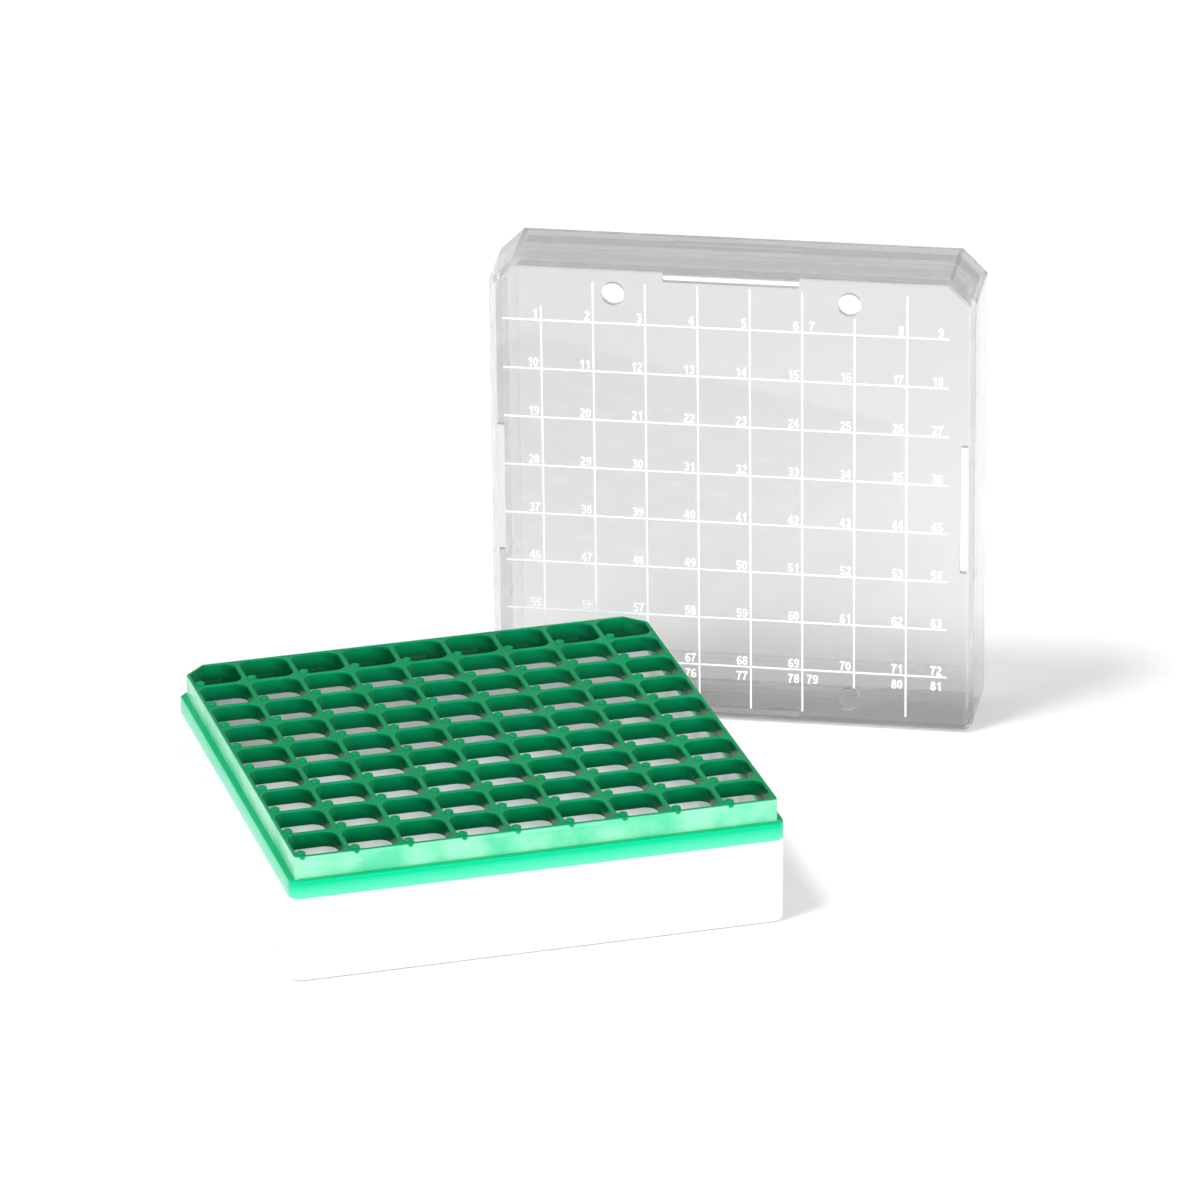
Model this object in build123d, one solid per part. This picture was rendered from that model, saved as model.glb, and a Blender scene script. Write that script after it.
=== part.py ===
from build123d import *
import os
from math import atan, cos, degrees, radians, sqrt, tan

# Cryogenic storage box with its lid taken off. Lengths are in millimetres and angles in degrees.
# The origin is at the middle of the tray's underside, +Z is up and -Y is the front, where the
# box's two rounded corners are. The two back corners are cut off at 45 degrees.

# The vials that the box is made for
vial_diameter = 12.5
vial_length = 48.5
vial_clearance = 0.33
vial_headroom = 0.3

# Cells of the insert
cells_per_side = 9
cell_wall = 1.35
cell_radius = 3.2
cell_depth = 4.4
CORNER_SIDES = 12
border_wall = 1.0
chamfer_wall = 0.8

# Corner pins, one standing in every cell's front left corner
pin_radius = 1.1
pin_vial_gap = 0.1
PIN_SIDES = 8

# Insert: plateau, ledge for the lid and lap skirt
plateau_height = 6.2
ledge_width = 1.61
ledge_thickness = 1.3
skirt_height = 4.85
skirt_wall = 1.2
edge_radius = 0.4

# Corners of the box in plan
back_chamfer = 6.5
front_radius = 3.0

# Tray
tray_height = 23.3
tray_floor = 1.6
tray_wall = 2.4
tray_draft = 0.3
tray_foot_height = 2.0
tray_foot_radius = 1.2
tray_inner_chamfer = 0.5
lap_clearance = 0.1
lap_headroom = 0.3
tongue_lead_in = 0.4

# Lid
rim_overhang = 0.755
rim_chamfer = 6.65
lid_plate = 1.8
lid_draft = 1.25
bevel_height = 1.9
bevel_width = 1.42
socket_clearance = 0.4
socket_depth = 7.3
socket_step = 0.3
cavity_draft = 0.5
vent_radius = 3.15
vent_slot_gap = 13.5
vent_wall_gap = 6.1

# Slots in the lid's plate and the snap beads below them
slot_length = 37.0
slot_width = 1.93
slot_corner_radius = 0.6
bead_end_gap = 1.0
bead_radius = 0.6
bead_reach = 0.3
bead_height = 2.2
ridge_reach = 0.2
ridge_drop = 1.0

# Guide ribs in the lid's socket and round detents on the plateau
guide_corner_gap = 10.4
guide_step = 13.6
guides_per_half = 3
guide_width = 0.8
guide_reach = 0.35
detent_corner_gap = 16.9
detent_drop = 2.45
detent_radius = 1.3
detent_reach = 0.25

# Printed grid on the lid's plate
ink_thickness = 0.05
line_width = 0.5
print_shift = -1.96
print_margin_top = 3.2
print_margin_bottom = 2.5
print_margin_left = 2.5
print_margin_right = 5.7
first_line_drop = 7.5
vent_line_gap = 0.55

# Where the lid stands, taken off, on one side of its skirt
lid_stand_x = 88.76
lid_stand_y = 61.89
lid_turn = -24.45

# Share of an inset by which the leg of a 45 degree corner chamfer shortens
CHAMFER_SHARE = 2 - sqrt(2)
SIDES = 4

# Sizes that follow from the ones above
cell_opening = vial_diameter + vial_clearance
cell_pitch = cell_opening + cell_wall
field_half = (cells_per_side * cell_pitch - cell_wall) / 2
plateau_half = field_half + border_wall
box_half = plateau_half + ledge_width
ledge_z = tray_height + skirt_height
plateau_z = ledge_z + plateau_height
tongue_height = skirt_height - ledge_thickness - lap_headroom
lid_height = tray_floor + vial_length + vial_headroom + lid_plate - ledge_z
rim_half = box_half + rim_overhang
wall_height = lid_height - bevel_height
bevel_inset = wall_height * tan(radians(lid_draft))
socket_half = plateau_half + socket_clearance
cavity_half = socket_half - socket_step
cavity_height = lid_height - lid_plate - socket_depth
cavity_top_half = cavity_half - cavity_height * tan(radians(cavity_draft))
plate_half = rim_half - bevel_inset - bevel_width
vent_x = slot_length / 2 + vent_slot_gap
vent_y = cavity_top_half - vent_wall_gap
detent_x = plateau_half - detent_corner_gap


def outline(half, back_leg, corner_radius):
    """Square plan with its two back corners cut off and its two front corners rounded."""
    plan = Rectangle(2 * half, 2 * half)
    plan = chamfer(plan.vertices().group_by(Axis.Y)[-1], back_leg)
    return fillet(plan.vertices().group_by(Axis.Y)[0], corner_radius)


def box_outline(inset):
    """Plan of the box drawn in by an inset, the same distance at the corners as along the sides."""
    return outline(box_half - inset, back_chamfer - inset * CHAMFER_SHARE, front_radius - inset)


def lid_outline(inset):
    """Plan of the lid's outside drawn in from its rim by an inset."""
    return outline(rim_half - inset, rim_chamfer - inset * CHAMFER_SHARE, front_radius + rim_overhang - inset)


def field_outline():
    """Plan of the field of cells: the walls left round it are thinner at the two cut corners."""
    plateau_leg = back_chamfer - ledge_width * CHAMFER_SHARE
    back_leg = plateau_leg + sqrt(2) * chamfer_wall - 2 * border_wall
    return outline(field_half, back_leg, cell_radius)


def cell_grid():
    """Centres of all the cells."""
    return GridLocations(cell_pitch, cell_pitch, cells_per_side, cells_per_side)


def on_each_side(shape):
    """A shape made at the back side, repeated at the four sides."""
    return [Rot(0, 0, 360 / SIDES * side) * shape for side in range(SIDES)]


def side_bead(radius, reach, half, height):
    """Round-faced bead along the wall at a distance half from the middle, let into it by its reach.

    A positive reach stands out towards the middle, and a negative one away from it.
    """
    depth = radius - abs(reach)
    centre_y = half + depth if reach > 0 else half - depth
    profile = Pos(centre_y, height) * Circle(radius) & Pos(half, height) * Rectangle(2 * abs(reach), 2 * radius)
    return extrude(Plane.YZ * profile, slot_length / 2 - bead_end_gap, both=True)


def make_tray():
    """Moulded tray with a rounded foot, a drafted outside and a tongue round its rim."""
    wall_rise = tray_height - tray_foot_height
    foot_plan = box_outline(wall_rise * tan(radians(tray_draft)))
    foot = extrude(foot_plan, tray_foot_height)
    foot = fillet(foot.edges().group_by(Axis.Z)[0], tray_foot_radius)
    wall = extrude(Pos(0, 0, tray_foot_height) * foot_plan, wall_rise, taper=-tray_draft)

    tongue = extrude(Pos(0, 0, tray_height) * box_outline(skirt_wall + lap_clearance), tongue_height)
    tongue = chamfer(tongue.edges().group_by(Axis.Z)[-1], tongue_lead_in)

    hollow = extrude(Pos(0, 0, tray_floor) * box_outline(tray_wall), tray_height + tongue_height - tray_floor)
    hollow = chamfer(hollow.edges().group_by(Axis.Z)[0], tray_inner_chamfer)
    return foot + wall + tongue - hollow


def make_openings():
    """The openings, each with a corner pin left standing in it that clears a centred vial.

    Their round corners and the pins are faceted, because they repeat in every cell.
    """
    pin_distance = (vial_diameter / 2 + pin_vial_gap + pin_radius) / sqrt(2)
    pin = Pos(-pin_distance, -pin_distance) * RegularPolygon(pin_radius, PIN_SIDES)
    corner_span = cell_opening - 2 * cell_radius
    corners = GridLocations(corner_span, corner_span, 2, 2) * RegularPolygon(cell_radius, CORNER_SIDES)
    opening = make_hull((Sketch() + corners).edges()) - pin
    openings = Sketch() + cell_grid() * opening
    openings = openings & field_outline()
    return extrude(Pos(0, 0, ledge_z) * openings, plateau_height)


def make_detents():
    """Low round buttons on the front and back of the plateau, which the lid's socket runs over."""
    ball_radius = (detent_radius**2 + detent_reach**2) / (2 * detent_reach)
    detents = []
    for side in (-1, 1):
        for x in (-detent_x, detent_x):
            centre_y = side * (plateau_half + detent_reach - ball_radius)
            ball = Pos(x, centre_y, plateau_z - detent_drop) * Sphere(ball_radius)
            wall_patch = Box(4 * detent_radius, border_wall, 4 * detent_radius)
            detents.append(ball & Pos(x, side * plateau_half, plateau_z - detent_drop) * wall_patch)
    return detents


def make_insert():
    """Moulded frame of cells: lap skirt, ledge for the lid's rim, plateau, cells and corner pins."""
    skirt = extrude(Pos(0, 0, tray_height) * box_outline(0), skirt_height)
    skirt = fillet(skirt.edges().group_by(Axis.Z)[-1], edge_radius)
    plateau_plan = Pos(0, 0, ledge_z - ledge_thickness) * box_outline(ledge_width)
    plateau = extrude(plateau_plan, plateau_height + ledge_thickness)
    plateau = fillet(plateau.edges().group_by(Axis.Z)[-1], edge_radius)
    ridge = side_bead(bead_radius, -ridge_reach, plateau_half, plateau_z - ridge_drop)
    insert = skirt + plateau + on_each_side(ridge) + make_detents()

    lap = extrude(Pos(0, 0, tray_height) * box_outline(skirt_wall), skirt_height - ledge_thickness)
    well = extrude(Pos(0, 0, tray_height) * field_outline(), plateau_z - cell_depth - tray_height)
    return insert - (lap + well) - make_openings()


def make_lid_shell():
    """Drafted skirt with a bevelled plate, hollowed by the cavity and the socket for the plateau."""
    skirt = extrude(lid_outline(0), wall_height, taper=lid_draft)
    bevel_angle = degrees(atan(bevel_width / bevel_height))
    bevel = extrude(Pos(0, 0, wall_height) * lid_outline(bevel_inset), bevel_height, taper=bevel_angle)
    socket = extrude(box_outline(box_half - socket_half), socket_depth)
    cavity_plan = Pos(0, 0, socket_depth) * box_outline(box_half - cavity_half)
    cavity = extrude(cavity_plan, cavity_height, taper=cavity_draft)
    return skirt + bevel - socket - cavity


def make_vents():
    """Round vent holes near the plate's front and back edges."""
    holes = Sketch() + GridLocations(2 * vent_x, 2 * vent_y, 2, 2) * Circle(vent_radius)
    return extrude(Pos(0, 0, lid_height - lid_plate) * holes, lid_plate)


def make_slot():
    """Long slot at the back edge, open down to the socket, through which the bead's core is drawn."""
    slot = Pos(0, cavity_top_half - slot_width / 2) * Rectangle(slot_length, slot_width)
    slot = fillet(slot.vertices().group_by(Axis.Y)[0], slot_corner_radius)
    return extrude(Pos(0, 0, socket_depth) * slot, lid_height - socket_depth)


def make_guides():
    """Short ribs in the socket of the back side, which centre the lid on the plateau."""
    guides = []
    for count in range(guides_per_half):
        for side in (-1, 1):
            guide_x = side * (plateau_half - guide_corner_gap - count * guide_step)
            rib = Pos(guide_x, socket_half, socket_depth / 2) * Box(guide_width, 2 * guide_reach, socket_depth)
            guides.append(rib)
    return guides


def make_lid():
    """Clear lid as it sits when closed, with its rim at zero height."""
    lid = make_lid_shell() - make_vents() - on_each_side(make_slot())
    bead = side_bead(bead_radius, bead_reach, socket_half, bead_height)
    ribs = [rib for guide in make_guides() for rib in on_each_side(guide)]
    return lid + on_each_side(bead) + ribs


def make_print():
    """Grid of ink lines on the plate, one line between each two rows or columns of cells."""
    left = print_margin_left - plate_half
    right = plate_half - print_margin_right
    bottom = print_margin_bottom - plate_half
    top = plate_half - print_margin_top
    lines = []
    for count in range(cells_per_side - 1):
        along = (count - cells_per_side / 2 + 1) * cell_pitch
        column_x = print_shift + along
        low, high = bottom, top
        if abs(abs(column_x) - vent_x) < vent_radius + line_width / 2:
            high = vent_y - vent_radius - vent_line_gap
            low = -high
        elif count == 0:
            high = top - first_line_drop
        lines.append(Pos(column_x, (low + high) / 2) * Rectangle(line_width, high - low))
        lines.append(Pos((left + right) / 2, along) * Rectangle(right - left, line_width))
    grid = Sketch() + lines
    return extrude(Pos(0, 0, lid_height) * grid, ink_thickness)


def lid_stand():
    """Place of the lid taken off: turned to stand on its front side, tipped forward by the skirt's draft."""
    middle_height = (rim_half - lid_height * tan(radians(lid_draft))) * cos(radians(lid_draft))
    plate_middle = Pos(lid_stand_x, lid_stand_y, middle_height)
    return plate_middle * Rot(0, 0, lid_turn) * Rot(90 + lid_draft, 0, 0) * Pos(0, 0, -lid_height)


def main():
    """Writes every piece in its place."""
    os.makedirs("parts", exist_ok=True)
    stand = lid_stand()
    pieces = {
        "base_tray": make_tray(),
        "cell_insert": make_insert(),
        "lid": stand * make_lid(),
        "lid_print": stand * make_print(),
    }
    for name, piece in pieces.items():
        export_step(piece, os.path.join("parts", name + ".step"))


main()
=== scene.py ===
import math

import bmesh
import bpy
from mathutils import Matrix, Vector


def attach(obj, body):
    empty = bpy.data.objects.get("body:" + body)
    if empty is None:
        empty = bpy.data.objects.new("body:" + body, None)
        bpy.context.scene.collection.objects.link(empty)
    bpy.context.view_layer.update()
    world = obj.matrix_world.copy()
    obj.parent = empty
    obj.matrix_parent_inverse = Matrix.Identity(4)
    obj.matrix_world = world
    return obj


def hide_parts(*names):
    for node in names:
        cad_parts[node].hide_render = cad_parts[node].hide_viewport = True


# The looks of an open cryogenic storage box whose clear lid stands behind it.
# Lengths are in millimetres until a mesh is made, which is in metres as the frame is.
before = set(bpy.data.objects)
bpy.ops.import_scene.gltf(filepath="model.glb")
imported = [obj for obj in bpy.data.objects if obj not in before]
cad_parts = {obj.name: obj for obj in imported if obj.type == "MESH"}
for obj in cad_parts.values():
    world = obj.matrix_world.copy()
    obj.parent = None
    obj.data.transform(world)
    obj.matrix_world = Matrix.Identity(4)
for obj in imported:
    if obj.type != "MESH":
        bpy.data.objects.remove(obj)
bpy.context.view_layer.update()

MM = 0.001

# Insert
BOX_HALF = 65.745
BACK_CHAMFER = 6.5
FRONT_RADIUS = 3.0
CHAMFER_SHARE = 2 - math.sqrt(2)
SKIRT_BOTTOM = 23.3
LEDGE_Z = 28.15
PLATEAU_Z = 34.35
LEDGE_WIDTH = 1.61
LEDGE_UNDERSIDE = 26.85
SKIRT_WALL = 1.2
WEB_UNDERSIDE = 29.95
EDGE_RADIUS = 0.4
CELL_COUNT = 9
CELL_PITCH = 14.18
CELL_OPENING = 12.83
CELL_RADIUS = 3.2
CELL_RIM = 0.28
FIELD_HALF = 63.135
FIELD_CHAMFER = 4.688
PIN_RADIUS = 1.25
PIN_OFFSET = 5.27
PIN_PROUD = 0.42
RIDGE_LENGTH = 35.0
RIDGE_REACH = 0.2
RIDGE_HALF_HEIGHT = 0.57
RIDGE_Z = 33.35
BUTTON_X = 47.235
BUTTON_Z = 31.9
BUTTON_RADIUS = 1.3
BUTTON_REACH = 0.25

# Lid, in its own frame with the rim at zero height, and where it stands
LID_HEIGHT = 24.05
LID_MIDDLE = (88.76, 61.89, 65.9595)
LID_TURN = -24.45
LID_TIP = 91.25
LID_EDGE_RADIUS = 0.22
PRINT_SHIFT = -1.96
INK_THICKNESS = 0.05
DIGIT_HEIGHT = 2.7
DIGIT_WIDTH = 1.46
DIGIT_ADVANCE = 1.56
STROKE_WIDTH = 0.175
DIGIT_GAP = 0.9
DIGIT_RISE = 0.5
LAST_ROW_DROP = 1.4
LAST_COLUMN_REACH = 9.8
LINE_MIDDLE = (CELL_COUNT - 2) / 2
SHIFTED_COLUMN = 6
FIRST_ROW_SHIFT = 1.9
LAST_ROW_SHIFT = 1.25
STROKE_STEP = 0.005

# Greens of the insert, from the ribs down into the cells, where painted shade darkens them, and from the
# ledge out to the lap skirt, where painted light makes the outer walls and the skirt paler
RIB_GREENS = ((0.0, 0.27, 0.095), (0.0, 0.24, 0.08))
# Painted shade: the colour the cells' walls darken to, lower down and on their far side
CELL_SHADE_GREEN = (0.0, 0.05, 0.016)
# Painted light: the plateau's outer walls, paler where light comes through them
LIT_OUTER_GREENS = ((0.12, 0.62, 0.36), (0.3, 0.74, 0.5))
LEDGE_GREEN = (0.0, 0.4, 0.16)
# Painted light: the lap skirt, paler where light comes through it over the white tray
LIT_SKIRT_GREENS = ((0.0, 0.56, 0.28), (0.14, 0.74, 0.46))
CELL_SHADE = 0.8

# Tints of the lid, with painted shade: grey in the plate and darker in the upper wall, lighter towards the
# plate's foot
PLATE_FOOT_SHADE_TINT = (0.77, 0.765, 0.755)
PLATE_TOP_SHADE_TINT = (0.63, 0.625, 0.615)
WALL_TINT = (0.96, 0.957, 0.95)
UPPER_WALL_SHADE_TINT = (0.47, 0.465, 0.455)
PLATE_DEPTH = 2.2
PLATE_BLEND = 0.3
TINT_FOOT_Z = 20.0
TINT_TOP_Z = 120.0
TINT_CLOUDS = 0.15
UPPER_WALL_Z = 124.0
UPPER_WALL_BLEND = 2.0

# Camera, worked out from the picture
CAMERA_PLACE = (-489.107, -1898.725, 894.226)
CAMERA_TURN = 15.418
CAMERA_DIP = -22.765
CAMERA_ROLL = -0.45
CAMERA_LENS = 244.37
SENSOR_WIDTH = 36.0

# Room, with its places and sizes in metres
FLOOR_REACH = 6.0
FLOOR_DROP = 0.0001
FLOOR_SHADE = 0.95
KEY_FROM = (-0.45, -0.15, 0.9)
KEY_STRENGTH = 1.65
KEY_SPREAD = 15
FRONT_PLACE = (0.2, -2.7, 0.9)
FRONT_TARGET = (0.05, 0.0, 0.06)
FRONT_SIZE = 1.4
FRONT_POWER = 40.0
DUSK_SIDE = (0.24, 0.88, -0.4)
DUSK_SPAN = (0.1, 0.7)
SKY_STRENGTH = 0.68
DUSK_STRENGTH = 0.25


# Meshes

def mesh_from(name, points, faces):
    """Mesh in metres from points in millimetres."""
    mesh = bpy.data.meshes.new(name)
    mesh.from_pydata([Vector(point) * MM for point in points], [], faces)
    mesh.validate()
    return mesh


def object_from(mesh):
    """Scene object that carries a mesh."""
    piece = bpy.data.objects.new(mesh.name, mesh)
    bpy.context.scene.collection.objects.link(piece)
    return piece


def loft(name, rings):
    """Closed solid through rings of equally many points, with its ends capped."""
    count = len(rings[0])
    points = [point for ring in rings for point in ring]
    faces = []
    for level in range(len(rings) - 1):
        for i in range(count):
            near, far = level * count + i, level * count + (i + 1) % count
            faces.append((near, far, far + count, near + count))
    faces.append(tuple(reversed(range(count))))
    faces.append(tuple(range(len(points) - count, len(points))))
    return outward(mesh_from(name, points, faces))


def outward(mesh):
    """Turns a closed mesh's faces outwards."""
    work = bmesh.new()
    work.from_mesh(mesh)
    bmesh.ops.remove_doubles(work, verts=work.verts, dist=1e-7)
    bmesh.ops.recalc_face_normals(work, faces=work.faces)
    work.to_mesh(mesh)
    work.free()
    return mesh


def lathe(name, profile, segments):
    """Solid of revolution about Z from (radius, height) pairs that start and end on the axis."""
    points = [(0, 0, profile[0][1])]
    for radius, height in profile[1:-1]:
        for step in range(segments):
            angle = 2 * math.pi * step / segments
            points.append((radius * math.cos(angle), radius * math.sin(angle), height))
    points.append((0, 0, profile[-1][1]))
    last = len(points) - 1
    faces = []
    for step in range(segments):
        after = (step + 1) % segments
        faces.append((0, 1 + after, 1 + step))
        for level in range(len(profile) - 3):
            low, high = 1 + level * segments, 1 + (level + 1) * segments
            faces.append((low + step, low + after, high + after, high + step))
        top = 1 + (len(profile) - 3) * segments
        faces.append((top + step, top + after, last))
    return outward(mesh_from(name, points, faces))


def arc(centre_x, centre_y, radius, start, end, segments):
    """Points of an arc in plan, with angles in degrees."""
    turn = [math.radians(start + (end - start) * step / segments) for step in range(segments + 1)]
    return [(centre_x + radius * math.cos(a), centre_y + radius * math.sin(a)) for a in turn]


def plan(half, leg, radius, segments=8):
    """Square plan with rounded front corners and cut back corners, anticlockwise."""
    inner = half - radius
    points = arc(-inner, -inner, radius, 180, 270, segments)
    points += arc(inner, -inner, radius, 270, 360, segments)
    points += [(half, half - leg), (half - leg, half), (leg - half, half), (-half, half - leg)]
    return points


def box_plan(inset):
    """The box's plan drawn in by an inset."""
    return plan(BOX_HALF - inset, BACK_CHAMFER - inset * CHAMFER_SHARE, FRONT_RADIUS - inset)


def cell_plan(offset, segments=7):
    """A cell's opening, widened by an offset."""
    centre = CELL_OPENING / 2 - CELL_RADIUS
    radius = CELL_RADIUS + offset
    points = []
    for quarter, (side_x, side_y) in enumerate([(1, 1), (-1, 1), (-1, -1), (1, -1)]):
        points += arc(side_x * centre, side_y * centre, radius, 90 * quarter, 90 * quarter + 90, segments)
    return points


def at_height(points, height):
    """Points of a plan lifted to a height."""
    return [(x, y, height) for x, y in points]


def rounding(radius, steps):
    """(inset, drop) pairs of a rounded edge, from the side to the top."""
    turn = [math.pi / 2 * step / steps for step in range(steps + 1)]
    return [(radius - radius * math.cos(a), radius - radius * math.sin(a)) for a in turn]


# Geometry Nodes

def grid_tree():
    """Tree that sets a part at every place of a square grid."""
    tree = bpy.data.node_groups.new("square_grid", "GeometryNodeTree")
    face = tree.interface
    face.new_socket("Geometry", in_out="INPUT", socket_type="NodeSocketGeometry")
    face.new_socket("Part", in_out="INPUT", socket_type="NodeSocketObject")
    face.new_socket("Count", in_out="INPUT", socket_type="NodeSocketInt")
    face.new_socket("Pitch", in_out="INPUT", socket_type="NodeSocketFloat")
    face.new_socket("Finish", in_out="INPUT", socket_type="NodeSocketMaterial")
    face.new_socket("Geometry", in_out="OUTPUT", socket_type="NodeSocketGeometry")
    node = tree.nodes.new
    link = tree.links.new
    given = node("NodeGroupInput")
    gaps = node("ShaderNodeMath")
    gaps.operation = "SUBTRACT"
    gaps.inputs[1].default_value = 1.0
    span = node("ShaderNodeMath")
    span.operation = "MULTIPLY"
    places = node("GeometryNodeMeshGrid")
    part = node("GeometryNodeObjectInfo")
    repeat = node("GeometryNodeInstanceOnPoints")
    solid = node("GeometryNodeRealizeInstances")
    finish = node("GeometryNodeSetMaterial")
    result = node("NodeGroupOutput")
    link(given.outputs["Count"], gaps.inputs[0])
    link(gaps.outputs[0], span.inputs[0])
    link(given.outputs["Pitch"], span.inputs[1])
    for axis in ("X", "Y"):
        link(span.outputs[0], places.inputs["Size " + axis])
        link(given.outputs["Count"], places.inputs["Vertices " + axis])
    link(given.outputs["Part"], part.inputs["Object"])
    link(places.outputs["Mesh"], repeat.inputs["Points"])
    link(part.outputs["Geometry"], repeat.inputs["Instance"])
    link(repeat.outputs["Instances"], solid.inputs["Geometry"])
    link(solid.outputs["Geometry"], finish.inputs["Geometry"])
    link(given.outputs["Finish"], finish.inputs["Material"])
    link(finish.outputs["Geometry"], result.inputs["Geometry"])
    return tree


def evaluated_mesh(piece, name):
    """Plain mesh of an object with its modifiers."""
    bpy.context.view_layer.update()
    graph = bpy.context.evaluated_depsgraph_get()
    mesh = bpy.data.meshes.new_from_object(piece.evaluated_get(graph))
    mesh.name = name
    return mesh


def repeated(part_mesh, tree, name, finish):
    """A mesh repeated in every cell."""
    part = object_from(part_mesh)
    carrier = object_from(bpy.data.meshes.new(name + "_carrier"))
    modifier = carrier.modifiers.new("grid", "NODES")
    modifier.node_group = tree
    values = {"Part": part, "Count": CELL_COUNT, "Pitch": CELL_PITCH * MM, "Finish": finish}
    for socket in tree.interface.items_tree:
        if socket.in_out == "INPUT" and socket.name in values:
            modifier[socket.identifier] = values[socket.name]
    mesh = evaluated_mesh(carrier, name)
    bpy.data.objects.remove(carrier)
    bpy.data.objects.remove(part)
    return mesh


def combined(base, tool, operation, name):
    """Mesh of a base cut, met or joined by a tool."""
    base_object, tool_object = object_from(base), object_from(tool)
    modifier = base_object.modifiers.new("combine", "BOOLEAN")
    modifier.operation = operation
    modifier.solver = "EXACT"
    modifier.object = tool_object
    mesh = evaluated_mesh(base_object, name)
    bpy.data.objects.remove(base_object)
    bpy.data.objects.remove(tool_object)
    return mesh


def joined(meshes, name):
    """One mesh of several."""
    work = bmesh.new()
    for mesh in meshes:
        work.from_mesh(mesh)
    mesh = bpy.data.meshes.new(name)
    work.to_mesh(mesh)
    work.free()
    return mesh


def moved(mesh, matrix):
    """Copy of a mesh moved by a matrix whose lengths are in millimetres."""
    placed = matrix.copy()
    placed.translation = placed.translation * MM
    mesh = mesh.copy()
    mesh.transform(placed)
    return mesh


def smooth_by_angle(mesh, degrees):
    """Smooth shading with the edges sharper than an angle kept crisp."""
    work = bmesh.new()
    work.from_mesh(mesh)
    limit = math.radians(degrees)
    for face in work.faces:
        face.smooth = True
    for edge in work.edges:
        edge.smooth = len(edge.link_faces) == 2 and edge.calc_face_angle(0.0) < limit
    work.to_mesh(mesh)
    work.free()
    return mesh


def weighted(mesh, name):
    """Mesh with normals that keep its flat faces flat."""
    piece = object_from(mesh)
    modifier = piece.modifiers.new("flat_faces", "WEIGHTED_NORMAL")
    modifier.keep_sharp = True
    modifier.weight = 100
    result = evaluated_mesh(piece, name)
    bpy.data.objects.remove(piece)
    return result


# Finishes

def lid_place():
    """Matrix from the closed lid's own frame to where it stands, in millimetres."""
    place = Matrix.Translation(LID_MIDDLE)
    place = place @ Matrix.Rotation(math.radians(LID_TURN), 4, "Z")
    place = place @ Matrix.Rotation(math.radians(LID_TIP), 4, "X")
    return place @ Matrix.Translation((0, 0, -LID_HEIGHT))


def surface_group():
    """Shader group for the skin of moulded plastic: fine grain, slow waves and uneven gloss."""
    group = bpy.data.node_groups.new("moulded_skin", "ShaderNodeTree")
    face = group.interface
    defaults = {"Grain Scale": 900.0, "Grain Depth": 0.0, "Wave Scale": 60.0, "Wave Depth": 0.0,
                "Gloss Scale": 40.0, "Roughness Low": 0.2, "Roughness High": 0.3}
    for label, value in defaults.items():
        socket = face.new_socket(label, in_out="INPUT", socket_type="NodeSocketFloat")
        socket.default_value = value
    face.new_socket("Roughness", in_out="OUTPUT", socket_type="NodeSocketFloat")
    face.new_socket("Mottle", in_out="OUTPUT", socket_type="NodeSocketFloat")
    face.new_socket("Normal", in_out="OUTPUT", socket_type="NodeSocketVector")
    node = group.nodes.new
    link = group.links.new
    given = node("NodeGroupInput")
    place = node("ShaderNodeTexCoord")
    result = node("NodeGroupOutput")

    def noise(scale, detail):
        texture = node("ShaderNodeTexNoise")
        texture.inputs["Detail"].default_value = detail
        link(place.outputs["Object"], texture.inputs["Vector"])
        link(given.outputs[scale], texture.inputs["Scale"])
        return texture

    def bump(texture, depth, before=None):
        relief = node("ShaderNodeBump")
        relief.inputs["Strength"].default_value = 1.0
        link(texture.outputs["Fac"], relief.inputs["Height"])
        link(given.outputs[depth], relief.inputs["Distance"])
        if before:
            link(before.outputs["Normal"], relief.inputs["Normal"])
        return relief

    waves = bump(noise("Wave Scale", 2.0), "Wave Depth")
    grain = bump(noise("Grain Scale", 4.0), "Grain Depth", waves)
    patches = noise("Gloss Scale", 6.0)
    gloss = node("ShaderNodeMapRange")
    gloss.inputs["From Min"].default_value = 0.35
    gloss.inputs["From Max"].default_value = 0.7
    link(patches.outputs["Fac"], gloss.inputs["Value"])
    link(given.outputs["Roughness Low"], gloss.inputs["To Min"])
    link(given.outputs["Roughness High"], gloss.inputs["To Max"])
    link(gloss.outputs["Result"], result.inputs["Roughness"])
    link(patches.outputs["Fac"], result.inputs["Mottle"])
    link(grain.outputs["Normal"], result.inputs["Normal"])
    return group


def plastic(name, skin, skin_values, shader_values, tints=None, absorption=None):
    """Procedural plastic: the moulded skin, two close tints if given, and an absorbing body if clear."""
    material = bpy.data.materials.new(name)
    material.use_nodes = True
    nodes, link = material.node_tree.nodes, material.node_tree.links.new
    shader = nodes["Principled BSDF"]
    texture = nodes.new("ShaderNodeGroup")
    texture.node_tree = skin
    for label, value in skin_values.items():
        texture.inputs[label].default_value = value
    if tints:
        tint = nodes.new("ShaderNodeMix")
        tint.data_type = "RGBA"
        tint.inputs["A"].default_value = (*tints[0], 1.0)
        tint.inputs["B"].default_value = (*tints[1], 1.0)
        link(texture.outputs["Mottle"], tint.inputs["Factor"])
        link(tint.outputs["Result"], shader.inputs["Base Color"])
    link(texture.outputs["Roughness"], shader.inputs["Roughness"])
    link(texture.outputs["Normal"], shader.inputs["Normal"])
    for label, value in shader_values.items():
        shader.inputs[label].default_value = value
    if absorption:
        body = nodes.new("ShaderNodeVolumeAbsorption")
        body.inputs["Color"].default_value = (*absorption[0], 1.0)
        body.inputs["Density"].default_value = absorption[1]
        link(body.outputs["Volume"], nodes["Material Output"].inputs["Volume"])
    return material


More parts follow.
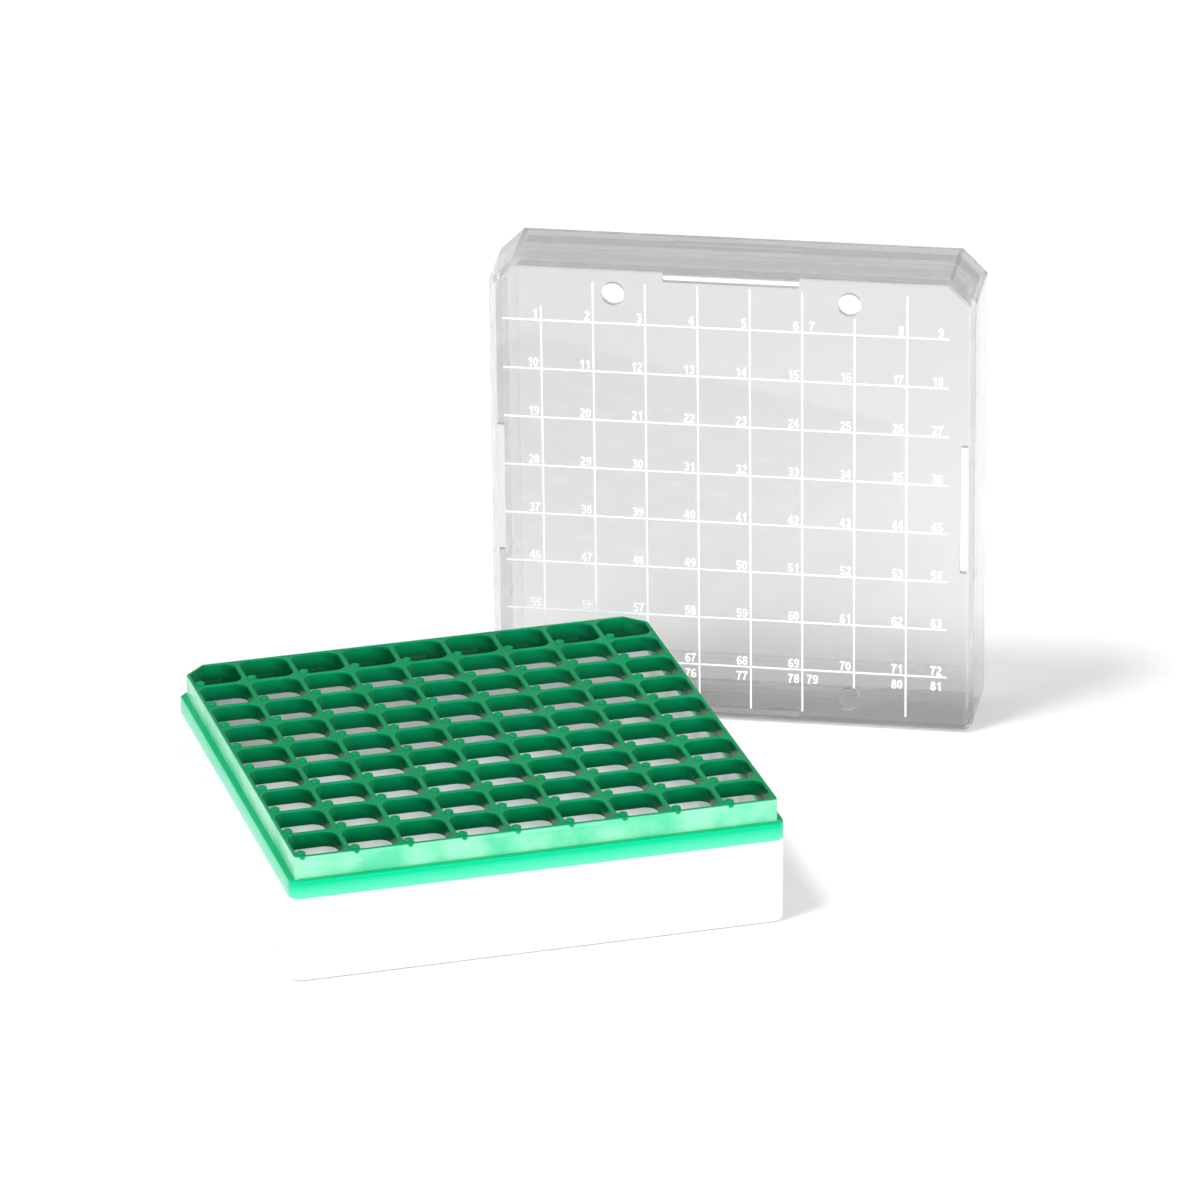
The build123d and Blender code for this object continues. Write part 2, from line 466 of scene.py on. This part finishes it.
def insert_colour(material):
    """Green with painted light and shade: painted shade darkens it in the cells, and painted light makes the
    outer walls and the lap skirt paler, where light comes through them.
    """
    nodes, link = material.node_tree.nodes, material.node_tree.links.new
    place = nodes.new("ShaderNodeTexCoord")
    apart = nodes.new("ShaderNodeSeparateXYZ")
    link(place.outputs["Object"], apart.inputs["Vector"])

    def maths(operation, *values):
        step = nodes.new("ShaderNodeMath")
        step.operation = operation
        for socket, value in zip(step.inputs, values):
            if isinstance(value, float):
                socket.default_value = value
            else:
                link(value, socket)
        return step.outputs[0]

    def ramp(value, start, end, top=1.0):
        step = nodes.new("ShaderNodeMapRange")
        link(value, step.inputs["Value"])
        step.inputs["From Min"].default_value = start * MM
        step.inputs["From Max"].default_value = end * MM
        step.inputs["To Max"].default_value = top
        return step.outputs["Result"]

    def blend(factor, first, second):
        step = nodes.new("ShaderNodeMix")
        step.data_type = "RGBA"
        link(factor, step.inputs["Factor"])
        for label, value in (("A", first), ("B", second)):
            if isinstance(value, tuple):
                step.inputs[label].default_value = (*value, 1.0)
            else:
                link(value, step.inputs[label])
        return step.outputs["Result"]

    def clouds(scale, low, high):
        texture = nodes.new("ShaderNodeTexNoise")
        texture.inputs["Scale"].default_value = scale
        texture.inputs["Detail"].default_value = 3.0
        link(place.outputs["Object"], texture.inputs["Vector"])
        step = nodes.new("ShaderNodeMapRange")
        link(texture.outputs["Fac"], step.inputs["Value"])
        step.inputs["From Min"].default_value = low
        step.inputs["From Max"].default_value = high
        return step.outputs["Result"]

    height = apart.outputs["Z"]
    across, along = maths("ABSOLUTE", apart.outputs["X"]), apart.outputs["Y"]
    wall = BOX_HALF - LEDGE_WIDTH
    corner = wall - BACK_CHAMFER + LEDGE_WIDTH * CHAMFER_SHARE
    reach = maths("MAXIMUM", across, maths("ABSOLUTE", along))
    reach = maths("MAXIMUM", reach, maths("SUBTRACT", maths("ADD", across, along), corner * MM))

    # Painted shade inside the cells: darker lower down, and on the side away from the light
    half_pitch = CELL_PITCH / 2 * MM
    in_cell = maths("WRAP", apart.outputs["X"], half_pitch, -half_pitch)
    lower = ramp(height, PLATEAU_Z - EDGE_RADIUS, WEB_UNDERSIDE, CELL_SHADE)
    side_shade = ramp(in_cell, 1.0, 6.0, CELL_SHADE)
    side_shade = maths("MULTIPLY", side_shade, ramp(height, PLATEAU_Z - 0.3, PLATEAU_Z - 1.0))
    top = blend(clouds(90.0, 0.35, 0.65), *RIB_GREENS)
    ribs_and_cell_shade = blend(maths("MAXIMUM", lower, side_shade), top, CELL_SHADE_GREEN)

    # Outer walls of the plateau: painted light makes them paler and cloudy, with painted shade on the front
    # wall where the pins stand behind it
    outer = ramp(reach, wall - 0.75, wall - 0.35)
    outer = maths("MULTIPLY", outer, ramp(height, PLATEAU_Z - 0.05, PLATEAU_Z - 0.35))
    # Painted shade: the painted light of the front wall is taken away at each pin behind it
    pin_across = maths("ADD", in_cell, PIN_OFFSET * MM)
    pin_below = maths("MULTIPLY", maths("SUBTRACT", height, PLATEAU_Z * MM), 0.9)
    pin_reach = maths("SQRT", maths("ADD", maths("POWER", pin_across, 2.0), maths("POWER", pin_below, 2.0)))
    front = ramp(along, -wall + 2.0, -wall + 0.5)
    pins = maths("MULTIPLY", ramp(pin_reach, 1.0, 0.6), front)
    outer = maths("MULTIPLY", outer, maths("SUBTRACT", 1.0, pins))
    lit_outer = blend(clouds(70.0, 0.4, 0.62), *LIT_OUTER_GREENS)

    # Ledge, and the lap skirt in painted light, paler where light comes through it and fading towards its
    # lower edge
    ledge = ramp(height, LEDGE_Z + 0.3, LEDGE_Z + 0.05)
    skirt = ramp(height, LEDGE_Z - 0.02, LEDGE_Z - 0.3)
    fade = ramp(height, LEDGE_Z - 0.8, SKIRT_BOTTOM)
    lap = blend(fade, *LIT_SKIRT_GREENS)
    outside = ramp(reach, wall - 0.2, wall + 0.1)
    colour = blend(outer, ribs_and_cell_shade, lit_outer)
    colour = blend(maths("MULTIPLY", ledge, outside), colour, LEDGE_GREEN)
    colour = blend(skirt, colour, lap)
    link(colour, nodes["Principled BSDF"].inputs["Base Color"])


def plate_colour(material):
    """Clear plastic with painted shade: grey in the plate, lighter towards its foot, and darker in the upper
    wall.
    """
    nodes, link = material.node_tree.nodes, material.node_tree.links.new
    place = nodes.new("ShaderNodeTexCoord")
    apart = nodes.new("ShaderNodeSeparateXYZ")
    link(place.outputs["Object"], apart.inputs["Vector"])

    def ramp(value, start, end):
        step = nodes.new("ShaderNodeMapRange")
        link(value, step.inputs["Value"])
        step.inputs["From Min"].default_value = start
        step.inputs["From Max"].default_value = end
        return step.outputs["Result"]

    def blend(factor, first, second):
        step = nodes.new("ShaderNodeMix")
        step.data_type = "RGBA"
        link(factor, step.inputs["Factor"])
        for label, value in (("A", first), ("B", second)):
            if isinstance(value, tuple):
                step.inputs[label].default_value = (*value, 1.0)
            else:
                link(value, step.inputs[label])
        return step.outputs["Result"]

    # The plate is what lies within its own depth of the lid's outer face
    outward_side = lid_place().to_3x3() @ Vector((0, 0, 1))
    surface = outward_side.dot(Vector(LID_MIDDLE)) * MM
    depth = nodes.new("ShaderNodeVectorMath")
    depth.operation = "DOT_PRODUCT"
    depth.inputs[1].default_value = outward_side
    link(place.outputs["Object"], depth.inputs[0])
    inner = surface - PLATE_DEPTH * MM
    plate = ramp(depth.outputs["Value"], inner, inner + PLATE_BLEND * MM)

    # Painted shade: the plate's grey, lighter towards its foot and darker towards its top, a little uneven
    texture = nodes.new("ShaderNodeTexNoise")
    texture.inputs["Scale"].default_value = 12.0
    link(place.outputs["Object"], texture.inputs["Vector"])
    uneven = nodes.new("ShaderNodeMath")
    uneven.operation = "MULTIPLY_ADD"
    uneven.inputs[1].default_value = TINT_CLOUDS
    link(texture.outputs["Fac"], uneven.inputs[0])
    link(ramp(apart.outputs["Z"], TINT_FOOT_Z * MM, TINT_TOP_Z * MM), uneven.inputs[2])
    tint = blend(uneven.outputs[0], PLATE_FOOT_SHADE_TINT, PLATE_TOP_SHADE_TINT)

    # Painted shade: the upper wall darker than the rest of the walls
    upper = ramp(apart.outputs["Z"], UPPER_WALL_Z * MM, (UPPER_WALL_Z + UPPER_WALL_BLEND) * MM)
    walls = blend(upper, WALL_TINT, UPPER_WALL_SHADE_TINT)
    link(blend(plate, walls, tint), nodes["Principled BSDF"].inputs["Base Color"])


skin = surface_group()
WHITE = plastic(
    "white_plastic", skin,
    {"Grain Scale": 2600.0, "Grain Depth": 0.000004, "Wave Scale": 45.0, "Wave Depth": 0.00004,
     "Gloss Scale": 120.0, "Roughness Low": 0.32, "Roughness High": 0.42},
    {"IOR": 1.49, "Subsurface Weight": 0.25, "Subsurface Scale": 0.002},
    tints=((0.87, 0.87, 0.878), (0.83, 0.83, 0.84)))
GREEN = plastic(
    "green_plastic", skin,
    {"Grain Scale": 1500.0, "Grain Depth": 0.000004, "Wave Scale": 70.0, "Wave Depth": 0.00004,
     "Gloss Scale": 160.0, "Roughness Low": 0.18, "Roughness High": 0.28},
    {"IOR": 1.5, "Specular Tint": (0.1, 0.95, 0.55, 1.0), "Subsurface Weight": 0.3,
     "Subsurface Scale": 0.001, "Subsurface Radius": (0.3, 1.0, 0.6)})
CLEAR = plastic(
    "clear_plastic", skin,
    {"Grain Scale": 900.0, "Grain Depth": 0.0, "Wave Scale": 30.0, "Wave Depth": 0.00003,
     "Gloss Scale": 50.0, "Roughness Low": 0.01, "Roughness High": 0.05},
    {"IOR": 1.5, "Transmission Weight": 1.0, "Alpha": 0.75},
    absorption=((0.2, 0.18, 0.14), 1.0))
INK = plastic(
    "white_ink", skin,
    {"Grain Scale": 4000.0, "Grain Depth": 0.000005, "Wave Scale": 300.0, "Wave Depth": 0.0,
     "Gloss Scale": 400.0, "Roughness Low": 0.5, "Roughness High": 0.65},
    {"IOR": 1.45},
    tints=((0.98, 0.98, 0.98), (0.93, 0.93, 0.93)))
insert_colour(GREEN)
plate_colour(CLEAR)


# Making the insert

def insert_body():
    """Frame before its cells are cut: lap skirt, ledge, plateau and the well under the cells."""
    field = plan(FIELD_HALF, FIELD_CHAMFER, CELL_RADIUS)
    rings = [
        at_height(field, WEB_UNDERSIDE),
        at_height(field, LEDGE_UNDERSIDE),
        at_height(box_plan(SKIRT_WALL), LEDGE_UNDERSIDE),
        at_height(box_plan(SKIRT_WALL), SKIRT_BOTTOM),
        at_height(box_plan(0.1), SKIRT_BOTTOM),
        at_height(box_plan(0), SKIRT_BOTTOM + 0.1),
    ]
    for inset, drop in rounding(EDGE_RADIUS, 4):
        rings.append(at_height(box_plan(inset), LEDGE_Z - drop))
    rings.append(at_height(box_plan(LEDGE_WIDTH), LEDGE_Z))
    for inset, drop in rounding(EDGE_RADIUS, 4):
        rings.append(at_height(box_plan(LEDGE_WIDTH + inset), PLATEAU_Z - drop))
    return loft("insert_body", rings)


def cell_cutter():
    """What is cut out for one cell, flared at both rims so that the webs' edges come out rounded."""
    past = 0.002
    rings = [at_height(cell_plan(CELL_RIM), WEB_UNDERSIDE - 1)]
    for inset, drop in reversed(rounding(CELL_RIM, 4)):
        rings.append(at_height(cell_plan(inset), WEB_UNDERSIDE + drop - past))
    for inset, drop in rounding(CELL_RIM, 4):
        rings.append(at_height(cell_plan(inset), PLATEAU_Z - drop + past))
    rings.append(at_height(cell_plan(CELL_RIM), PLATEAU_Z + 1))
    return loft("cell_cutter", rings)


def corner_wedges():
    """The two cut back corners, which the corner cells stop at."""
    wedges = []
    for side in (-1, 1):
        far = FIELD_HALF + 10
        near = FIELD_HALF - FIELD_CHAMFER - 10
        triangle = [(side * far, near), (side * far, far), (side * near, far)]
        rings = [at_height(triangle, height) for height in (WEB_UNDERSIDE - 3, PLATEAU_Z + 3)]
        wedges.append(loft("wedge", rings))
    return joined(wedges, "corner_wedges")


def corner_pin():
    """Pin of one cell, with a dimpled top that stands a little proud."""
    top = PLATEAU_Z + PIN_PROUD
    profile = [(0, WEB_UNDERSIDE + 0.05), (PIN_RADIUS - 0.15, WEB_UNDERSIDE + 0.05),
               (PIN_RADIUS, WEB_UNDERSIDE + 0.2),
               (PIN_RADIUS, top - 0.35), (PIN_RADIUS - 0.09, top - 0.13), (PIN_RADIUS - 0.28, top),
               (PIN_RADIUS - 0.5, top - 0.05), (PIN_RADIUS - 0.68, top - 0.22), (0, top - 0.3)]
    pin = lathe("corner_pin", profile, 20)
    return moved(pin, Matrix.Translation((-PIN_OFFSET, -PIN_OFFSET, 0)))


def snap_ridges():
    """Low ridge along the middle of each side of the plateau."""
    wall = BOX_HALF - LEDGE_WIDTH
    steps = 8
    section = [(wall - 0.3, -RIDGE_HALF_HEIGHT), (wall - 0.3, RIDGE_HALF_HEIGHT)]
    for step in range(steps + 1):
        share = 2 * step / steps - 1
        section.append((wall - 0.02 + (RIDGE_REACH + 0.02) * (1 - share * share), -share * RIDGE_HALF_HEIGHT))
    ridges = []
    for side in range(4):
        turn = Matrix.Rotation(math.pi / 2 * side, 4, "Z")
        rings = [[turn @ Vector((along, -y, RIDGE_Z + z)) for y, z in section]
                 for along in (-RIDGE_LENGTH / 2, RIDGE_LENGTH / 2)]
        ridges.append(loft("ridge", rings))
    return ridges


def side_buttons():
    """Round dimpled buttons on the front and back of the plateau."""
    wall = BOX_HALF - LEDGE_WIDTH
    profile = [(0, -0.3), (BUTTON_RADIUS, -0.3), (BUTTON_RADIUS, 0.05),
               (BUTTON_RADIUS - 0.12, BUTTON_REACH - 0.04), (BUTTON_RADIUS - 0.35, BUTTON_REACH),
               (BUTTON_RADIUS - 0.65, BUTTON_REACH - 0.06),
               (BUTTON_RADIUS - 0.95, 0.08), (0, 0.05)]
    buttons = []
    for turn in (0, math.pi):
        for x in (-BUTTON_X, BUTTON_X):
            place = Matrix.Rotation(turn, 4, "Z") @ Matrix.Translation((x, -wall, BUTTON_Z))
            buttons.append(moved(lathe("button", profile, 28), place @ Matrix.Rotation(math.pi / 2, 4, "X")))
    return buttons


def make_insert():
    """The green frame of cells."""
    tree = grid_tree()
    cutters = repeated(cell_cutter(), tree, "cell_cutters", GREEN)
    cutters = combined(cutters, corner_wedges(), "DIFFERENCE", "cell_cutters")
    frame_mesh = combined(insert_body(), cutters, "DIFFERENCE", "insert_frame")
    pins = repeated(corner_pin(), tree, "corner_pins", GREEN)
    details = joined([pins, *snap_ridges(), *side_buttons()], "insert_details")
    frame_mesh = combined(frame_mesh, details, "UNION", "insert_frame")
    frame_mesh = smooth_by_angle(frame_mesh, 38)
    frame_mesh = weighted(frame_mesh, "insert_frame")
    frame_mesh.materials.clear()
    frame_mesh.materials.append(GREEN)
    piece = object_from(frame_mesh)
    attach(piece, "box")
    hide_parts("cell_insert")
    return piece


# Making the lid

def make_lid():
    """The clear lid, with its edges slightly rounded so that they catch the light."""
    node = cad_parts["lid"]
    mesh = node.data.copy()
    mesh.transform(node.matrix_world)
    work = bmesh.new()
    work.from_mesh(mesh)
    bmesh.ops.remove_doubles(work, verts=work.verts, dist=0.000002)
    bmesh.ops.dissolve_limit(work, angle_limit=math.radians(0.5), verts=work.verts, edges=work.edges)
    work.to_mesh(mesh)
    work.free()
    mesh.name = "lid_shell"
    rough = object_from(mesh)
    modifier = rough.modifiers.new("edges", "BEVEL")
    modifier.width = LID_EDGE_RADIUS * MM
    modifier.segments = 2
    modifier.limit_method = "ANGLE"
    modifier.angle_limit = math.radians(35)
    modifier.use_clamp_overlap = True
    shell = evaluated_mesh(rough, "lid_shell")
    bpy.data.objects.remove(rough)
    shell = weighted(smooth_by_angle(shell, 50), "lid_shell")
    shell.materials.clear()
    shell.materials.append(CLEAR)
    piece = object_from(shell)
    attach(piece, "lid")
    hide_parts("lid")
    return piece


def bow(centre_x, centre_y, radius_x, radius_y, start, end, steps=12):
    """Points along part of an ellipse, with angles in degrees."""
    turns = [math.radians(start + (end - start) * step / steps) for step in range(steps + 1)]
    return [(centre_x + radius_x * math.cos(a), centre_y + radius_y * math.sin(a)) for a in turns]


def figure_strokes():
    """Middle lines of the ten printed figures, which are one unit high."""
    six = [bow(0.28, 0.31, 0.185, 0.22, 0, 360, 20), bow(0.31, 0.5, 0.215, 0.41, 195, 75)
           + bow(0.3, 0.72, 0.16, 0.19, 80, 20, 5)]
    return {
        "0": [bow(0.27, 0.5, 0.18, 0.41, 0, 360, 24)],
        "1": [[(0.36, 0.0), (0.36, 1.0)], [(0.36, 0.84), (0.27, 0.77), (0.12, 0.72)]],
        "2": [bow(0.27, 0.71, 0.18, 0.2, 165, -35) + [(0.3, 0.42), (0.13, 0.22), (0.09, 0.09)],
              [(0.01, 0.085), (0.53, 0.085)]],
        "3": [bow(0.26, 0.72, 0.165, 0.19, 160, -80) + [(0.2, 0.53)],
              [(0.2, 0.51)] + bow(0.265, 0.3, 0.18, 0.21, 85, -160)],
        "4": [[(0.37, 1.0), (0.37, 0.0)], [(0.34, 0.94), (0.07, 0.35)], [(0.0, 0.29), (0.54, 0.29)]],
        "5": [[(0.11, 0.915), (0.5, 0.915)], [(0.14, 0.95), (0.1, 0.5)],
              [(0.1, 0.5)] + bow(0.265, 0.32, 0.185, 0.235, 120, -160)],
        "6": six,
        "7": [[(0.0, 0.915), (0.54, 0.915)], [(0.44, 0.9), (0.28, 0.6), (0.2, 0.3), (0.17, 0.0)]],
        "8": [bow(0.27, 0.725, 0.155, 0.185, 0, 360, 18), bow(0.27, 0.29, 0.18, 0.205, 0, 360, 20)],
        "9": [[(0.56 - x, 1 - y) for x, y in line] for line in six],
    }


def stroke_rings(line, low, high):
    """Rectangular sections along the middle line of one printed stroke."""
    rings = []
    for index, (x, y) in enumerate(line):
        before, after = line[max(index - 1, 0)], line[min(index + 1, len(line) - 1)]
        if line[0] == line[-1] or math.dist(line[0], line[-1]) < 0.001:
            before = line[index - 1] if index else line[-2]
            after = line[index + 1] if index < len(line) - 1 else line[1]
        along = Vector((after[0] - before[0], after[1] - before[1])).normalized()
        side = Vector((-along.y, along.x)) * STROKE_WIDTH / 2
        rings.append([(x - side.x, y - side.y, low), (x + side.x, y + side.y, low),
                      (x + side.x, y + side.y, high), (x - side.x, y - side.y, high)])
    return rings


def number_place(row, column, figures):
    """Left foot of a cell's number on the lid's plate, from how many figures it has."""
    line_x = PRINT_SHIFT + (column - LINE_MIDDLE) * CELL_PITCH
    if column == CELL_COUNT - 1:
        line_x = PRINT_SHIFT + LINE_MIDDLE * CELL_PITCH + LAST_COLUMN_REACH + DIGIT_GAP
    x = line_x - DIGIT_GAP - DIGIT_ADVANCE * (figures - 1) - DIGIT_WIDTH
    if column == SHIFTED_COLUMN and row in (0, CELL_COUNT - 1):
        x = line_x - CELL_PITCH + (FIRST_ROW_SHIFT if row == 0 else LAST_ROW_SHIFT)
    y = (LINE_MIDDLE - row) * CELL_PITCH + DIGIT_RISE
    if row == CELL_COUNT - 1:
        y = -LINE_MIDDLE * CELL_PITCH - LAST_ROW_DROP - DIGIT_HEIGHT
    return x, y


def number_solids(label, x, y, strokes):
    """Thin solids of one number, each stroke of a figure a little lower than the one before."""
    solids = []
    for place, figure in enumerate(label):
        left = x + place * DIGIT_ADVANCE
        for level, line in enumerate(strokes[figure]):
            rings = [
                [(left + px * DIGIT_HEIGHT, y + py * DIGIT_HEIGHT, LID_HEIGHT + pz) for px, py, pz in ring]
                for ring in stroke_rings(line, 0.0, INK_THICKNESS - STROKE_STEP * level)]
            solids.append(loft("stroke", rings))
    return solids


def make_numbers():
    """Printed figures, one number for each cell."""
    strokes = figure_strokes()
    solids = []
    for row in range(CELL_COUNT):
        for column in range(CELL_COUNT):
            label = str(row * CELL_COUNT + column + 1)
            x, y = number_place(row, column, len(label))
            solids += number_solids(label, x, y, strokes)
    mesh = moved(joined(solids, "lid_numbers"), lid_place())
    mesh.name = "lid_numbers"
    mesh.materials.clear()
    mesh.materials.append(INK)
    piece = object_from(mesh)
    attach(piece, "lid")
    return piece


def finish_node(name, material):
    """Gives a carried-over node its material."""
    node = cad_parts[name]
    node.data.materials.clear()
    node.data.materials.append(material)


# Making the room

def make_camera():
    """Camera at the picture's viewpoint."""
    turn, dip, roll = (math.radians(value) for value in (CAMERA_TURN, CAMERA_DIP, CAMERA_ROLL))
    ahead = Vector((math.sin(turn) * math.cos(dip), math.cos(turn) * math.cos(dip), math.sin(dip)))
    level = Vector((math.cos(turn), -math.sin(turn), 0))
    above = level.cross(ahead)
    right = math.cos(roll) * level + math.sin(roll) * above
    up = math.cos(roll) * above - math.sin(roll) * level
    data = bpy.data.cameras.new("camera")
    data.lens = CAMERA_LENS
    data.sensor_width = SENSOR_WIDTH
    data.clip_start = 0.05
    data.clip_end = 50
    camera = bpy.data.objects.new("camera", data)
    bpy.context.scene.collection.objects.link(camera)
    matrix = Matrix((right, up, -ahead)).transposed().to_4x4()
    matrix.translation = Vector(CAMERA_PLACE) * MM
    camera.matrix_world = matrix
    bpy.context.scene.camera = camera


def make_light(name, place, target, size, power):
    """Soft square light that looks at a target, in metres."""
    data = bpy.data.lights.new(name, "AREA")
    data.shape = "SQUARE"
    data.size = size
    data.energy = power
    light = bpy.data.objects.new(name, data)
    bpy.context.scene.collection.objects.link(light)
    light.location = place
    light.rotation_euler = (Vector(target) - Vector(place)).to_track_quat("-Z", "Y").to_euler()


def make_sun(name, place, strength, spread):
    """Even light from far away in the direction of a place, softened by its spread in degrees."""
    data = bpy.data.lights.new(name, "SUN")
    data.energy = strength
    data.angle = math.radians(spread)
    light = bpy.data.objects.new(name, data)
    bpy.context.scene.collection.objects.link(light)
    light.rotation_euler = Vector(place).to_track_quat("Z", "Y").to_euler()


def make_room():
    """Pale floor, white surroundings and soft studio light."""
    floor_mesh = bpy.data.meshes.new("floor")
    corners = [(x * FLOOR_REACH, y * FLOOR_REACH, 0) for x, y in ((-1, -1), (1, -1), (1, 1), (-1, 1))]
    floor_mesh.from_pydata(corners, [], [(0, 1, 2, 3)])
    floor = object_from(floor_mesh)
    floor.location.z = -FLOOR_DROP
    material = bpy.data.materials.new("floor")
    material.use_nodes = True
    shader = material.node_tree.nodes["Principled BSDF"]
    shader.inputs["Base Color"].default_value = (FLOOR_SHADE, FLOOR_SHADE, FLOOR_SHADE, 1)
    shader.inputs["Roughness"].default_value = 0.7
    shader.inputs["Specular IOR Level"].default_value = 0.2
    floor_mesh.materials.append(material)

    world = bpy.data.worlds.new("studio")
    world.use_nodes = True
    nodes, link = world.node_tree.nodes, world.node_tree.links.new
    sky = nodes["Background"]
    sky.inputs["Color"].default_value = (1.0, 1.0, 1.0, 1.0)
    place = nodes.new("ShaderNodeTexCoord")
    backward = nodes.new("ShaderNodeVectorMath")
    backward.operation = "DOT_PRODUCT"
    backward.inputs[1].default_value = DUSK_SIDE
    link(place.outputs["Generated"], backward.inputs[0])
    dusk = nodes.new("ShaderNodeMapRange")
    dusk.interpolation_type = "SMOOTHSTEP"
    dusk.inputs["From Min"].default_value = DUSK_SPAN[0]
    dusk.inputs["From Max"].default_value = DUSK_SPAN[1]
    dusk.inputs["To Min"].default_value = SKY_STRENGTH
    dusk.inputs["To Max"].default_value = DUSK_STRENGTH
    link(backward.outputs["Value"], dusk.inputs["Value"])
    link(dusk.outputs["Result"], sky.inputs["Strength"])
    bpy.context.scene.world = world
    bpy.context.scene.view_settings.view_transform = "Standard"

    make_sun("key", KEY_FROM, KEY_STRENGTH, KEY_SPREAD)
    make_light("front", FRONT_PLACE, FRONT_TARGET, FRONT_SIZE, FRONT_POWER)


make_camera()
make_insert()
make_lid()
make_numbers()
finish_node("base_tray", WHITE)
finish_node("lid_print", INK)
make_room()
